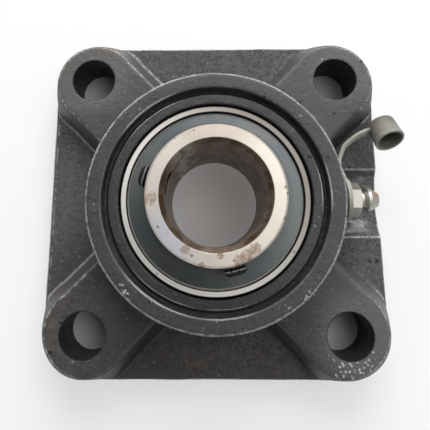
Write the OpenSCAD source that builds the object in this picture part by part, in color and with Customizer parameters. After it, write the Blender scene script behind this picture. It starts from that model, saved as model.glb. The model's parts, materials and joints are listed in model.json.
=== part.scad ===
// Square four-bolt flange bearing unit: a painted casting that holds a self-aligning ball bearing
// insert with two set screws, a grease nipple and the nipple's tethered dust cap.
// Millimetres. Z is the shaft axis, Z = 0 the mounting face, and X points to the grease nipple.

/* [Flange] */
// Side of the square flange at the mounting face
flange_w = 95; // [90:0.5:102]
// Spacing of the bolt holes along X and along Y
bolt_spacing = 70; // [66:0.5:73]
// Diameter of the bolt holes
bolt_hole_d = 12; // [8:0.5:14]
// Thickness of the webs between the arms
web_t = 8.5; // [7:0.25:10]
// Height of the bolt bosses and of the arms
boss_h = 15; // [12:0.25:18]
// Width of the flat top of an arm, edges not rounded
arm_top_w = 22; // [18:0.2:22.2]
// Slope of the arm sides from upright, in degrees
arm_slope = 25; // [12:1:32]
// Swell of the rounded end of an arm past its sides
arm_end_swell = 0.3; // [0.2:0.05:1]
// Set-back of the centre of that rounded end from the bolt hole, along X and along Y
arm_end_setback = 0.9; // [0:0.1:1.5]
// Draft of the outer walls of the webs, in degrees
side_draft = 2.4; // [1:0.2:6]
// Draft of the outer walls of the bosses, in degrees
corner_draft = 6; // [2:0.5:8]
// Rounding of the cast edges
cast_edge_r = 0.9; // [0.4:0.1:1.4]
// Radius of the scoop under the grease nipple
scoop_r = 13.9; // [11:0.1:15]

/* [Collar] */
// Draft of the collar's wall, in degrees
collar_draft = 2.5; // [1:0.5:4]
// Height of the front face of the collar above the mounting face
collar_h = 27; // [25.5:0.25:29]
// Width of the front face of the collar, outside its groove
collar_land_w = 4.3; // [3:0.1:6]
// Width of the dark groove in the front face
groove_w = 1.5; // [0.8:0.1:2.5]
// Depth of that groove below the inner land
groove_depth = 1.6; // [0.6:0.1:2.5]
// Width of the inner land between the groove and the bearing seat
land_w = 2.6; // [1.8:0.1:4]
// Drop of the inner land below the front face
land_drop = 1.5; // [0.5:0.1:2.5]
// Diameter of the relief behind the bearing
relief_d = 56; // [53:0.5:60]
// Depth of that relief
relief_depth = 4; // [2:0.25:6]
// Height of the ball plane above the mounting face
center_h = 16; // [15.2:0.1:17]

/* [Rings] */
// Shaft bore
bore_d = 25; // [20:0.5:26]
// Outside diameter of the inner ring
inner_ring_d = 34; // [32.5:0.25:35]
// Length of the inner ring
inner_ring_len = 34.1; // [33:0.1:38]
// Length of the inner ring behind the ball plane
inner_ring_back = 14.3; // [13:0.1:15]
// Chamfer at the mouths of the shaft bore
bore_chamfer = 1.25; // [0.4:0.05:1.6]
// Chamfer at the outside ends of the inner ring
ring_chamfer = 0.5; // [0.2:0.05:0.8]
// Diameter of the spherical outside of the outer ring
outer_ring_d = 52; // [51:0.25:54]
// Width of the outer ring
outer_ring_w = 17; // [16.6:0.1:18]
// Distance of the ball circle inside the circle that halves the area from the inner ring to the sphere
ball_circle_inset = 2.45; // [2.3:0.01:2.6]
// Depth of the balls below the shoulder of the outer ring
raceway_depth = 1.45; // [1.2:0.05:1.7]
// Raceway radius as a share of the ball diameter
raceway_share = 0.52; // [0.51:0.005:0.54]
// Diameter of the lubrication holes through the outer ring
lube_hole_d = 1.4; // [1:0.1:1.6]
// Width of the grease groove in the bearing seat
grease_groove_w = 4; // [3:0.25:5]
// Depth of that groove
grease_groove_depth = 0.9; // [0.5:0.1:1.5]

/* [Balls and cage] */
// Ball diameter
ball_d = 7.938; // [7:0.001:8.3]
// Number of balls
ball_count = 9; // [7:1:9]
// Thickness of the pressed cage halves
cage_t = 0.7; // [0.5:0.05:0.9]
// Radial width of the cage
cage_w = 3.2; // [2.6:0.1:3.6]
// Shank diameter of the cage rivets
rivet_d = 1.3; // [0.9:0.1:1.6]
// Head height of the cage rivets
rivet_head_h = 0.6; // [0.3:0.05:0.8]

/* [Seals] */
// Thickness of the seal plates
seal_plate_t = 0.6; // [0.4:0.05:0.8]
// Distance of a seal plate's inner face from the ball plane
seal_offset = 6; // [5.8:0.05:6.2]
// Width of the ledge that a seal plate rests on, along the radius
seal_ledge = 0.85; // [0.6:0.05:1.1]
// Depth of the snap groove that holds a seal plate
seal_snap = 0.35; // [0.15:0.05:0.5]
// Width of the rubber lip, along the radius
lip_w = 1.8; // [1.2:0.1:2.4]
// Thickness of the slingers
slinger_t = 0.7; // [0.5:0.05:0.9]
// Distance of a slinger's outer face from the ball plane
slinger_offset = 8.1; // [8:0.05:8.4]
// Length of the slinger hub that grips the inner ring
slinger_hub_len = 1.6; // [1:0.1:2]
// Wall of that hub
slinger_hub_t = 0.6; // [0.4:0.05:1]

/* [Set screws] */
// Thread diameter of the set screws
screw_d = 6; // [5:0.5:7]
// Length of a set screw
screw_len = 6.3; // [5:0.1:8]
// Thread pitch of the set screws
screw_pitch = 0.75; // [0.5:0.05:1]
// Distance of the screw axes from the front end of the inner ring
screw_inset = 5; // [4.2:0.1:6]
// Hexagon socket of the set screws, across flats
screw_socket_af = 3; // [2:0.1:3.5]
// Depth of that socket
screw_socket_depth = 3; // [1.5:0.1:4]
// Direction of the first screw from X, in degrees
screw_angle = 164.5; // [0:0.5:360]
// Angle between the two screws, in degrees
screw_spread = 120; // [60:5:120]

/* [Grease nipple] */
// Height of the nipple's axis above the ball plane
nipple_rise = 2.5; // [2:0.1:3.5]
// Height of the spot-faced pad beyond the collar
pad_h = 0.5; // [0.4:0.1:2]
// Width of the strap ring's overhang past the pad
pad_inset = 0.25; // [0.1:0.05:0.6]
// Thread diameter of the nipple
nipple_thread_d = 6; // [5:0.25:6.5]
// Length of the nipple's thread
nipple_thread_len = 5; // [4:0.1:6]
// Hexagon of the nipple, across flats
nipple_hex_af = 8; // [7.5:0.1:9]
// Length of the hexagon
nipple_hex_len = 2.9; // [2.5:0.1:4]
// Diameter of the nipple's neck
nipple_neck_d = 4.3; // [4:0.1:5]
// Diameter of the nipple's head
nipple_head_d = 6.2; // [5.6:0.1:6.4]
// Length of neck and head together
nipple_head_len = 4.8; // [3.8:0.1:5.5]
// Diameter of the check ball
check_ball_d = 2.4; // [2:0.1:2.6]
// Wire diameter of the check ball's spring
spring_wire_d = 0.32; // [0.2:0.02:0.4]
// Turns of that spring
spring_turns = 5; // [3:0.5:6]
// Width of the passage that carries grease to the bearing seat
passage_d = 3; // [1.5:0.1:4]

/* [Dust cap] */
// Outside diameter of the strap's ring
strap_ring_d = 11.5; // [10:0.25:12.5]
// Thickness of that ring
strap_ring_t = 1.1; // [0.8:0.05:1.4]
// Thickness of the strap
strap_t = 1.1; // [0.8:0.05:1.3]
// Width of the strap
strap_w = 2; // [1.4:0.1:2.6]
// Lean of the strap in degrees, where it runs to the cap
strap_lean = 22; // [0:1:30]
// Outside diameter of the cap at its mouth
cap_d = 7.8; // [7.6:0.1:9]
// Outside diameter of the cap at its closed end
cap_end_d = 7.5; // [7.4:0.1:8]
// Length of the cap
cap_len = 6.5; // [6:0.1:9]
// Wall of the cap
cap_wall = 0.55; // [0.4:0.05:0.6]
// Height of the bead around the mouth of the cap
cap_bead = 0.1; // [0.05:0.05:0.4]

/* [Clearances] */
// Between the spherical outer ring and its seat
seat_gap = 0.06; // [0.05:0.01:0.1]
// Between the outer ring's faces and the edges of the seat's openings
opening_gap = 0.35; // [0.33:0.01:0.6]
// Between a ball and a raceway
race_gap = 0.04; // [0.03:0.01:0.08]
// Between a ball and its cage pocket
pocket_gap = 0.12; // [0.08:0.01:0.2]
// Between a rubber lip and the inner ring
lip_gap = 0.06; // [0.04:0.01:0.1]
// Between a slinger's rim and the outer ring
slinger_gap = 0.5; // [0.2:0.05:0.8]
// Around threads and the cage rivets
thread_gap = 0.04; // [0.02:0.01:0.08]
// Around the nipple's shank in the strap's ring, and on both faces of the ring
strap_ring_gap = 0.12; // [0.05:0.01:0.2]
// Between the tip of a set screw and the wall of the shaft bore
screw_tip_recess = 0.5; // [0.2:0.05:1]

/* [Hidden] */
$fn = 96;
// Overrun of cuts past the faces that they leave through
past = 1;
arc_steps = 4;
slinger_colour = [0.40, 0.43, 0.45];
plate_colour = [0.70, 0.70, 0.70];
rubber_colour = [0.10, 0.10, 0.10];

// Rings and raceways, as radii
bore_r = bore_d / 2;
inner_r = inner_ring_d / 2;
outer_r = outer_ring_d / 2;
ball_r = ball_d / 2;
half_area_r = sqrt((inner_r * inner_r + outer_r * outer_r) / 2);
pitch_r = half_area_r - ball_circle_inset;
shoulder_r = pitch_r + ball_r - raceway_depth;
cage_r = (inner_r + shoulder_r) / 2;
rivet_head_share = 1.6;
raceway_r = raceway_share * ball_d;
inner_race_r = pitch_r - ball_r - race_gap + raceway_r;
outer_race_r = pitch_r + ball_r + race_gap - raceway_r;
inner_ring_front = inner_ring_len - inner_ring_back;
face_r = sqrt(outer_r * outer_r - outer_ring_w * outer_ring_w / 4);

// Bearing seat and collar
seat_r = outer_r + seat_gap;
opening_r = face_r + opening_gap;
groove_in_r = opening_r + land_w;
groove_out_r = groove_in_r + groove_w;
collar_r = groove_out_r + collar_land_w;
land_h = collar_h - land_drop;
collar_foot_r = collar_r + collar_h * tan(collar_draft);
slot_w = outer_ring_w + 2 * opening_gap;
slot_r = seat_r + opening_gap;

// Flange
bolt_at = bolt_spacing / 2;
corner_r = (flange_w - bolt_spacing) / 2;
arm_len = sqrt(2) * (bolt_at - arm_end_setback);
arm_end_r = arm_top_w / 2 + arm_end_swell;

// Seals, measured from the ball plane
seal_seat_r = shoulder_r + seal_ledge;
lip_out_r = inner_r + lip_gap + lip_w;
plate_in_r = lip_out_r - lip_w / 2;
lip_skin = 0.25;
slinger_r = seal_seat_r - slinger_gap;
slinger_dish = 0.25;
press_gap = 0.01;

// Lubrication, measured from the ball plane
raceway_half_w = sqrt(pow(raceway_r, 2) - pow(shoulder_r - outer_race_r, 2));
lube_z = (raceway_half_w + seal_offset) / 2;
lube_groove_w = lube_hole_d;

// Set screws, along their own axis from the shaft axis
screw_z = center_h + inner_ring_front - screw_inset;
screw_tip = bore_r + screw_tip_recess;
screw_r = screw_d / 2 - thread_gap;
thread_share = 0.6;
thread_depth = thread_share * screw_pitch;
screw_point_r = screw_r - 2 * thread_depth;
screw_cup_depth = 0.6;

// Grease nipple, along its own axis from the spot face
nipple_h = center_h + nipple_rise;
nipple_at = collar_r + (collar_h - nipple_h) * tan(collar_draft) + pad_h;
hex_from = strap_ring_t + 2 * strap_ring_gap;
hex_to = hex_from + nipple_hex_len;
nipple_tip = hex_to + nipple_head_len;
thread_r = nipple_thread_d / 2;
shank_r = thread_r - thread_gap;
pad_r = strap_ring_d / 2 - pad_inset;
neck_r = nipple_neck_d / 2;
head_r = nipple_head_d / 2;
tip_share = 0.6;
tip_r = tip_share * head_r;
hex_chamfer = 0.5;
neck_from = hex_to + 0.5;
neck_len = 0.4;
head_rise = 1;
crown_len = 0.7;
mouth_wall = 0.5;
mouth_share = 0.7;
mouth_r = mouth_share * check_ball_d / 2;
chamber_gap = 0.15;
chamber_r = check_ball_d / 2 + chamber_gap;
chamber_from = hex_from;
nipple_bore_share = 0.6;
nipple_bore_r = nipple_bore_share * chamber_r;
seat_touch_gap = 0.02;
spring_gap = 0.1;
check_ball_at = nipple_tip - mouth_wall - seat_touch_gap
    - sqrt(pow(check_ball_d / 2, 2) - pow(mouth_r, 2));
spring_coil_r = chamber_r - spring_wire_d / 2 - spring_gap;
spring_from = chamber_from + spring_wire_d / 2 + seat_touch_gap;
spring_to = check_ball_at - seat_touch_gap
    - sqrt(pow(check_ball_d / 2 + spring_wire_d / 2, 2) - pow(spring_coil_r, 2));
spring_sides = 6;
spring_rings_per_turn = 14;

// Dust cap and strap, from the middle of the spot face: along the nipple, towards Y, towards Z
cap_axis = [0.20, -0.86, 0.48];
cap_end = [11.4, 21, 0];
cap_roof_share = 1.5;
cap_roof = cap_roof_share * cap_wall;
cap_round = 0.8;
cap_bead_len = 1;
strap_ring_from = strap_ring_gap;
strap_at = strap_ring_from + strap_ring_t / 2;
strap_route = [
    [strap_at, 4.9, 0], [strap_at, 5.8, 0], [0.1, 7.4, -0.2], [-0.4, 9.2, -0.5], [-0.2, 11, -0.7],
    [0.5, 12.7, -0.7], [1.3, 14.5, -0.5], [2.9, 16, 0], [4.8, 17.4, 0.5], [6.9, 18.4, 0.8], [8.6, 19, 0.8]];
strap_lean_from = 10.5;
strap_lean_len = 4;
strap_lean_way = [-0.6, 0.8, 0];
strap_steps = 3;
strap_corner = 0.3;

// Points of an arc around c, from angle a to angle b
function arc(c, r, a, b) =
    [for (i = [0 : arc_steps])
        let (t = a + (b - a) * i / arc_steps)
        c + r * [cos(t), sin(t)]];

function unit(v) = v / norm(v);

// Diameter over the corners of a hexagon
function over_corners(across_flats) = across_flats / cos(30);

// Catmull-Rom point of a route, s counted in route points
function route_point(route, s) =
    let (last = len(route) - 1,
         k = min(floor(s), last - 1),
         t = s - k,
         a = route[max(k - 1, 0)],
         b = route[k],
         c = route[k + 1],
         d = route[min(k + 2, last)])
    (2 * b + (c - a) * t + (2 * a - 5 * b + 4 * c - d) * t * t + (3 * b - a - 3 * c + d) * t * t * t) / 2;

// Way up of the strap at a point of its route: upright by the ring, leaning by the cap
function strap_up(p) =
    let (lean = strap_lean * min(1, max(0, (p[1] - strap_lean_from) / strap_lean_len)))
    [0, 0, cos(lean)] + sin(lean) * strap_lean_way;

// Tube along a list of centres: section points are [sideways, up] offsets
module sweep(centres, section, up) {
    n = len(centres);
    m = len(section);
    rings = [
        for (i = [0 : n - 1])
            let (ahead = unit(centres[min(i + 1, n - 1)] - centres[max(i - 1, 0)]),
                 side = unit(cross(ahead, up(centres[i]))),
                 rise = cross(side, ahead))
            for (p = section) centres[i] + p[0] * side + p[1] * rise];
    walls = [
        for (i = [0 : n - 2], j = [0 : m - 1])
            let (a = i * m + j, b = i * m + (j + 1) % m)
            each [[a, b, b + m], [a, b + m, a + m]]];
    start_cap = [for (j = [m - 1 : -1 : 0]) j];
    end_cap = [for (j = [0 : m - 1]) (n - 1) * m + j];
    polyhedron(rings, concat(walls, [start_cap], [end_cap]));
}

// Turned shape from points of [radius, height]
module turned(points) {
    rotate_extrude() polygon(points);
}

// Puts children at the ball plane, with Z along the shaft
module at_ball_plane() {
    translate([0, 0, center_h]) children();
}

// Puts children on the nipple's axis, with Z along it and the spot face at Z = 0
module on_nipple_axis() {
    translate([nipple_at, 0, nipple_h]) rotate([0, 90, 0]) children();
}

module at_bolts() {
    for (x = [-1, 1], y = [-1, 1])
        translate([x * bolt_at, y * bolt_at, 0]) children();
}

// Puts children on a circle, one for each ball, turned on by a share of their spacing
module around(r, turn = 0) {
    for (k = [0 : ball_count - 1])
        rotate([0, 0, (k + turn) * 360 / ball_count]) translate([r, 0, 0]) children();
}

// Side of a drafted wall up to the boss height, with a rounded top edge: top is its half-width there
function wall_side(top, slope) =
    let (round_at = top + cast_edge_r * (tan(slope) - 1 / cos(slope)))
    concat([[top + boss_h * tan(slope), 0]],
           arc([round_at, boss_h - cast_edge_r], cast_edge_r, slope, 90));

// Two crossed bars as long as the bolt spacing, with drafted sides
module crossed_bars(h, draft) {
    lean = h * tan(draft);
    half_w = flange_w / 2;
    for (turn = [0, 90])
        rotate([90, 0, turn]) translate([0, 0, -bolt_at]) linear_extrude(bolt_spacing)
            polygon([[-half_w, 0], [half_w, 0], [half_w - lean, h], [lean - half_w, h]]);
}

// Drafted block of the rounded square that the arms stay in, a little higher than the bosses
module arm_block() {
    top = boss_h + past;
    crossed_bars(top, corner_draft);
    at_bolts() cylinder(r1 = corner_r, r2 = corner_r - top * tan(corner_draft), h = top);
}

// Arms from the middle to the bolts, with rounded ends
module arms() {
    side = wall_side(arm_top_w / 2, arm_slope);
    mirrored = [for (i = [len(side) - 1 : -1 : 0]) [-side[i][0], side[i][1]]];
    for (turn = [45 : 90 : 315])
        rotate([0, 0, turn]) {
            rotate([90, 0, 90]) linear_extrude(arm_len) polygon(concat(side, mirrored));
            translate([arm_len, 0, 0])
                turned(concat([[0, 0]], wall_side(arm_end_r, arm_slope), [[0, boss_h]]));
        }
}

module scoop() {
    translate([0, 0, nipple_h]) rotate([0, 90, 0]) cylinder(r = scoop_r, h = flange_w);
}

module collar() {
    edge = [collar_r - cast_edge_r, collar_h - cast_edge_r];
    floor_h = land_h - groove_depth;
    turned(concat(
        [[0, 0], [collar_foot_r, 0]],
        arc(edge, cast_edge_r, collar_draft, 90),
        [[groove_out_r, collar_h], [groove_out_r, floor_h],
         [groove_in_r, floor_h], [groove_in_r, land_h], [0, land_h]]));
}

// Spherical seat with its openings, loading slots, grease groove and rear relief
module bearing_seat() {
    at_ball_plane() {
        sphere(r = seat_r);
        cylinder(r = opening_r, h = 2 * collar_h, center = true);
        translate([0, 0, lube_z - grease_groove_w / 2])
            cylinder(r = seat_r + grease_groove_depth, h = grease_groove_w);
    }
    translate([0, 0, -past]) cylinder(d = relief_d, h = relief_depth + past);
    translate([-slot_w / 2, -slot_r, -past]) cube([slot_w, 2 * slot_r, center_h + past]);
}

module nipple_hole() {
    on_nipple_axis() {
        translate([0, 0, -nipple_thread_len - past])
            cylinder(r = thread_r, h = nipple_thread_len + 2 * past);
        translate([0, 0, outer_r - nipple_at])
            cylinder(d = passage_d, h = nipple_at - outer_r);
    }
}

module housing() {
    color([0.32, 0.33, 0.34])
    difference() {
        union() {
            difference() {
                union() {
                    crossed_bars(web_t, side_draft);
                    intersection() {
                        arm_block();
                        arms();
                    }
                }
                scoop();
            }
            collar();
            on_nipple_axis()
                translate([0, 0, -pad_h - collar_land_w]) cylinder(r = pad_r, h = pad_h + collar_land_w);
        }
        bearing_seat();
        nipple_hole();
        at_bolts() translate([0, 0, -past]) cylinder(d = bolt_hole_d, h = boss_h + 2 * past);
    }
}

module outer_ring() {
    half_w = outer_ring_w / 2;
    snap_from = seal_offset - thread_gap;
    snap_to = snap_from + seal_plate_t + 2 * thread_gap;
    snap_r = seal_seat_r + seal_snap;
    bore_side = [
        [shoulder_r, 0], [shoulder_r, snap_from], [snap_r, snap_from], [snap_r, snap_to],
        [seal_seat_r, snap_to], [seal_seat_r, half_w + past]];
    bore_far_side = [for (i = [len(bore_side) - 1 : -1 : 1]) [bore_side[i][0], -bore_side[i][1]]];
    color([0.82, 0.82, 0.80])
    at_ball_plane()
    difference() {
        intersection() {
            sphere(r = outer_r);
            cube([3 * outer_r, 3 * outer_r, outer_ring_w], center = true);
        }
        turned(concat([[0, -half_w - past]], bore_far_side, bore_side, [[0, half_w + past]]));
        rotate_extrude() translate([outer_race_r, 0]) circle(r = raceway_r);
        translate([0, 0, lube_z - lube_groove_w / 2])
            difference() {
                cylinder(r = outer_r + past, h = lube_groove_w);
                cylinder(r = face_r, h = lube_groove_w);
            }
        for (turn = [90, 270])
            rotate([0, 0, turn]) translate([pitch_r, 0, lube_z]) rotate([0, 90, 0])
                cylinder(d = lube_hole_d, h = outer_r);
    }
}

module at_screw(k) {
    rotate([0, 0, screw_angle + k * screw_spread])
        translate([0, 0, screw_z]) rotate([0, 90, 0]) children();
}

module inner_ring() {
    back = -inner_ring_back;
    front = inner_ring_front;
    color([0.86, 0.84, 0.80])
    difference() {
        at_ball_plane()
        difference() {
            turned([
                [bore_r, back + bore_chamfer], [bore_r + bore_chamfer, back],
                [inner_r - ring_chamfer, back], [inner_r, back + ring_chamfer],
                [inner_r, front - ring_chamfer], [inner_r - ring_chamfer, front],
                [bore_r + bore_chamfer, front], [bore_r, front - bore_chamfer]]);
            rotate_extrude() translate([inner_race_r, 0]) circle(r = raceway_r);
        }
        for (k = [0, 1])
            at_screw(k) cylinder(d = screw_d, h = inner_r + past);
    }
}

module ball(k) {
    color([0.88, 0.88, 0.88])
    at_ball_plane()
    rotate([0, 0, (k - 1) * 360 / ball_count]) translate([pitch_r, 0, 0]) sphere(r = ball_r);
}

// Pressed half of the cage on the +Z side, with its flats on the ball plane
module cage_half() {
    pocket_r = ball_r + pocket_gap;
    difference() {
        intersection() {
            union() {
                cylinder(r = cage_r + cage_w, h = cage_t);
                around(pitch_r) sphere(r = pocket_r + cage_t);
            }
            difference() {
                cylinder(r = cage_r + cage_w / 2, h = ball_d);
                translate([0, 0, -past]) cylinder(r = cage_r - cage_w / 2, h = ball_d + 2 * past);
            }
        }
        around(pitch_r) sphere(r = pocket_r);
        around(cage_r, 0.5) translate([0, 0, -past])
            cylinder(d = rivet_d + 2 * thread_gap, h = cage_t + 2 * past);
    }
}

module cage_front() {
    color([0.72, 0.72, 0.70]) at_ball_plane() cage_half();
}

module cage_back() {
    color([0.72, 0.72, 0.70]) at_ball_plane() mirror([0, 0, 1]) cage_half();
}

module cage_rivets() {
    shank_r = rivet_d / 2;
    head_r = rivet_head_share * shank_r;
    head_from = cage_t;
    top = head_from + rivet_head_h;
    color([0.75, 0.75, 0.73])
    at_ball_plane() around(cage_r, 0.5)
        turned([
            [0, -top], [shank_r, -top], [head_r, -head_from], [shank_r, -head_from],
            [shank_r, head_from], [head_r, head_from], [shank_r, top], [0, top]]);
}

// Pressed disc outside a seal, on the +Z side
module slinger() {
    out = slinger_offset;
    grip_r = inner_r + press_gap;
    hub_r = grip_r + slinger_hub_t;
    hub_top = out - slinger_t + slinger_hub_len;
    bend_r = (hub_r + slinger_r) / 2;
    turned([
        [grip_r, out - slinger_t], [bend_r, out - slinger_t], [slinger_r, out - slinger_t - slinger_dish],
        [slinger_r, out - slinger_dish], [bend_r, out], [hub_r, out], [hub_r, hub_top], [grip_r, hub_top]]);
}

// Steel disc that snaps into the outer ring, on the +Z side
module seal_plate() {
    low = seal_offset;
    top = seal_offset + seal_plate_t;
    rim_r = seal_seat_r + seal_snap - thread_gap;
    turned([[plate_in_r, low], [rim_r, low], [rim_r, top], [plate_in_r, top]]);
}

// Rubber lip moulded around the plate's inner edge, on the +Z side
module seal_lip() {
    low = seal_offset;
    top = seal_offset + seal_plate_t;
    lip_r = inner_r + lip_gap;
    edge_r = plate_in_r - press_gap;
    bond_r = lip_out_r;
    turned([
        [lip_r, low - lip_skin], [bond_r, low - lip_skin], [bond_r, low - press_gap],
        [edge_r, low - press_gap], [edge_r, top + press_gap], [bond_r, top + press_gap],
        [bond_r, top + lip_skin / 2], [lip_r, top + lip_skin / 2]]);
}

module front_slinger() {
    color(slinger_colour) at_ball_plane() slinger();
}

module back_slinger() {
    color(slinger_colour) at_ball_plane() mirror([0, 0, 1]) slinger();
}

module front_seal_plate() {
    color(plate_colour) at_ball_plane() seal_plate();
}

module back_seal_plate() {
    color(plate_colour) at_ball_plane() mirror([0, 0, 1]) seal_plate();
}

module front_seal_lip() {
    color(rubber_colour) at_ball_plane() seal_lip();
}

module back_seal_lip() {
    color(rubber_colour) at_ball_plane() mirror([0, 0, 1]) seal_lip();
}

// Set screw with ridges for its thread, a cup point towards the shaft and a hexagon socket
module set_screw(k) {
    tip = screw_tip;
    end = tip + screw_len;
    ridge_from = tip + 2 * thread_depth;
    ridges = floor((end - thread_depth - ridge_from) / screw_pitch);
    root_r = screw_r - thread_depth;
    ridge_points = [
        for (i = [0 : ridges - 1])
            let (z = ridge_from + i * screw_pitch)
            each [[root_r, z], [screw_r, z + screw_pitch / 2]]];
    color([0.13, 0.13, 0.14])
    at_screw(k)
    difference() {
        turned(concat(
            [[0, tip + screw_cup_depth], [screw_point_r, tip]],
            ridge_points,
            [[root_r, end - thread_depth], [root_r - thread_depth, end], [0, end]]));
        translate([0, 0, end - screw_socket_depth])
            cylinder(d = over_corners(screw_socket_af), h = screw_socket_depth + past, $fn = 6);
    }
}

module grease_nipple() {
    hex_d = over_corners(nipple_hex_af);
    hex_r = hex_d / 2;
    neck_to = neck_from + neck_len;
    crown_from = neck_to + head_rise;
    crown_to = crown_from + crown_len;
    color([0.80, 0.79, 0.74])
    on_nipple_axis()
    difference() {
        union() {
            turned([
                [0, -nipple_thread_len], [shank_r - thread_depth, -nipple_thread_len],
                [shank_r, thread_depth - nipple_thread_len], [shank_r, hex_to - hex_chamfer],
                [neck_r, neck_from], [neck_r, neck_to], [head_r, crown_from], [head_r, crown_to],
                [tip_r, nipple_tip], [0, nipple_tip]]);
            intersection() {
                translate([0, 0, hex_from]) rotate([0, 0, 30])
                    cylinder(d = hex_d, h = nipple_hex_len, $fn = 6);
                turned([
                    [0, hex_from], [hex_r, hex_from], [hex_r, hex_to - hex_chamfer],
                    [hex_r - 2 * hex_chamfer, hex_to], [0, hex_to]]);
            }
        }
        translate([0, 0, chamber_from])
            cylinder(r = chamber_r, h = nipple_tip - mouth_wall - chamber_from);
        translate([0, 0, -nipple_thread_len - past])
            cylinder(r = nipple_bore_r, h = nipple_thread_len + chamber_from + 2 * past);
        translate([0, 0, nipple_tip - mouth_wall - past]) cylinder(r = mouth_r, h = mouth_wall + 2 * past);
    }
}

module nipple_check_ball() {
    color([0.62, 0.45, 0.32]) on_nipple_axis() translate([0, 0, check_ball_at]) sphere(d = check_ball_d);
}

module nipple_spring() {
    rings = spring_turns * spring_rings_per_turn;
    rise = (spring_to - spring_from) / rings;
    centres = [
        for (i = [0 : rings])
            let (a = 360 * i / spring_rings_per_turn)
            [spring_coil_r * cos(a), spring_coil_r * sin(a), spring_from + rise * i]];
    section = [
        for (j = [0 : spring_sides - 1])
            let (a = 360 * j / spring_sides)
            spring_wire_d / 2 * [cos(a), sin(a)]];
    color([0.70, 0.70, 0.70])
    on_nipple_axis() sweep(centres, section, function(p) [p[0], p[1], 0]);
}

// Ring on the nipple's shank, strap and hollow cap, moulded in one piece
module dust_cap() {
    side = strap_t / 2;
    half_w = strap_w / 2;
    section = [
        [side, strap_corner - half_w], [side, half_w - strap_corner],
        [side - strap_corner, half_w], [strap_corner - side, half_w],
        [-side, half_w - strap_corner], [-side, strap_corner - half_w],
        [strap_corner - side, -half_w], [side - strap_corner, -half_w]];
    steps = (len(strap_route) - 1) * strap_steps;
    centres = [for (i = [0 : steps]) route_point(strap_route, i / strap_steps)];
    mouth_r = cap_d / 2;
    end_r = cap_end_d / 2;
    bead_r = mouth_r + cap_bead;
    axis = unit(cap_axis);
    tilt = acos(axis[2]);
    heading = atan2(axis[1], axis[0]);
    color([0.59, 0.59, 0.54])
    difference() {
        union() {
            on_nipple_axis()
                translate([0, 0, strap_ring_from]) cylinder(d = strap_ring_d, h = strap_ring_t);
            translate([nipple_at, 0, nipple_h]) {
                sweep(centres, section, function(p) strap_up(p));
                translate(cap_end) rotate([0, tilt, heading])
                    turned(concat(
                        [[0, 0]], arc([end_r - cap_round, cap_round], cap_round, -90, 0),
                        [[mouth_r, cap_len - cap_bead_len - cap_bead], [bead_r, cap_len - cap_bead_len],
                         [bead_r, cap_len], [0, cap_len]]));
            }
        }
        on_nipple_axis() translate([0, 0, -past])
            cylinder(r = thread_r + strap_ring_gap, h = strap_ring_t + 3 * past);
        translate([nipple_at, 0, nipple_h]) translate(cap_end) rotate([0, tilt, heading])
            translate([0, 0, cap_roof])
                cylinder(r1 = end_r - cap_wall, r2 = mouth_r - cap_wall, h = cap_len - cap_roof);
    }
}

housing();
outer_ring();
inner_ring();
for (k = [1 : ball_count]) ball(k);
cage_front();
cage_back();
cage_rivets();
front_slinger();
front_seal_plate();
front_seal_lip();
back_slinger();
back_seal_plate();
back_seal_lip();
set_screw(0);  // set_screw_1
set_screw(1);  // set_screw_2
grease_nipple();
nipple_check_ball();
nipple_spring();
dust_cap();
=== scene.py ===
"""Square four-bolt flange bearing unit: cast surface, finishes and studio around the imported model."""

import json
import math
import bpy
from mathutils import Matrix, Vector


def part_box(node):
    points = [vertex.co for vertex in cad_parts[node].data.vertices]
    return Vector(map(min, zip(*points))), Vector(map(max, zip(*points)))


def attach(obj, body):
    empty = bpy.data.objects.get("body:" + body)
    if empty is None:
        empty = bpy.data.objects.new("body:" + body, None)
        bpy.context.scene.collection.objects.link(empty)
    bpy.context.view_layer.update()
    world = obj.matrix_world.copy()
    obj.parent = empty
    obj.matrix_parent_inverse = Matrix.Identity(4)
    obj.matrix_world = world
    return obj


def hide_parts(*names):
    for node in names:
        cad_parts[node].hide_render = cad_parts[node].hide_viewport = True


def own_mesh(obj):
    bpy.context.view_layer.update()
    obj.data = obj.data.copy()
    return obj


bl_info = {
    "name": "Flange Bearing Unit",
    "version": (1, 0, 0),
    "blender": (4, 5, 0),
    "location": "View3D > Sidebar > Bearing",
    "description": "Dresses the packed flange bearing unit and sets up its studio",
    "category": "Object",
}

import bmesh
import bpy
from bpy.props import FloatProperty, FloatVectorProperty, IntProperty, PointerProperty
from bpy.types import Operator, Panel, PropertyGroup
from mathutils import Vector, noise

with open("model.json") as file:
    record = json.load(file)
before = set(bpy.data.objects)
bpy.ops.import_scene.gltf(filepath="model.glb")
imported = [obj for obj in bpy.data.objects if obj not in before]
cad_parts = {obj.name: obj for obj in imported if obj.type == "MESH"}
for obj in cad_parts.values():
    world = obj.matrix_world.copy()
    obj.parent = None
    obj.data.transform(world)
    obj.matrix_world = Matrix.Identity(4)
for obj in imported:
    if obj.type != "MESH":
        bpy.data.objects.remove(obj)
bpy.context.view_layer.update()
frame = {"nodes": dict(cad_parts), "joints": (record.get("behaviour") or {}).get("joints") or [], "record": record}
MM = 0.001

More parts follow.
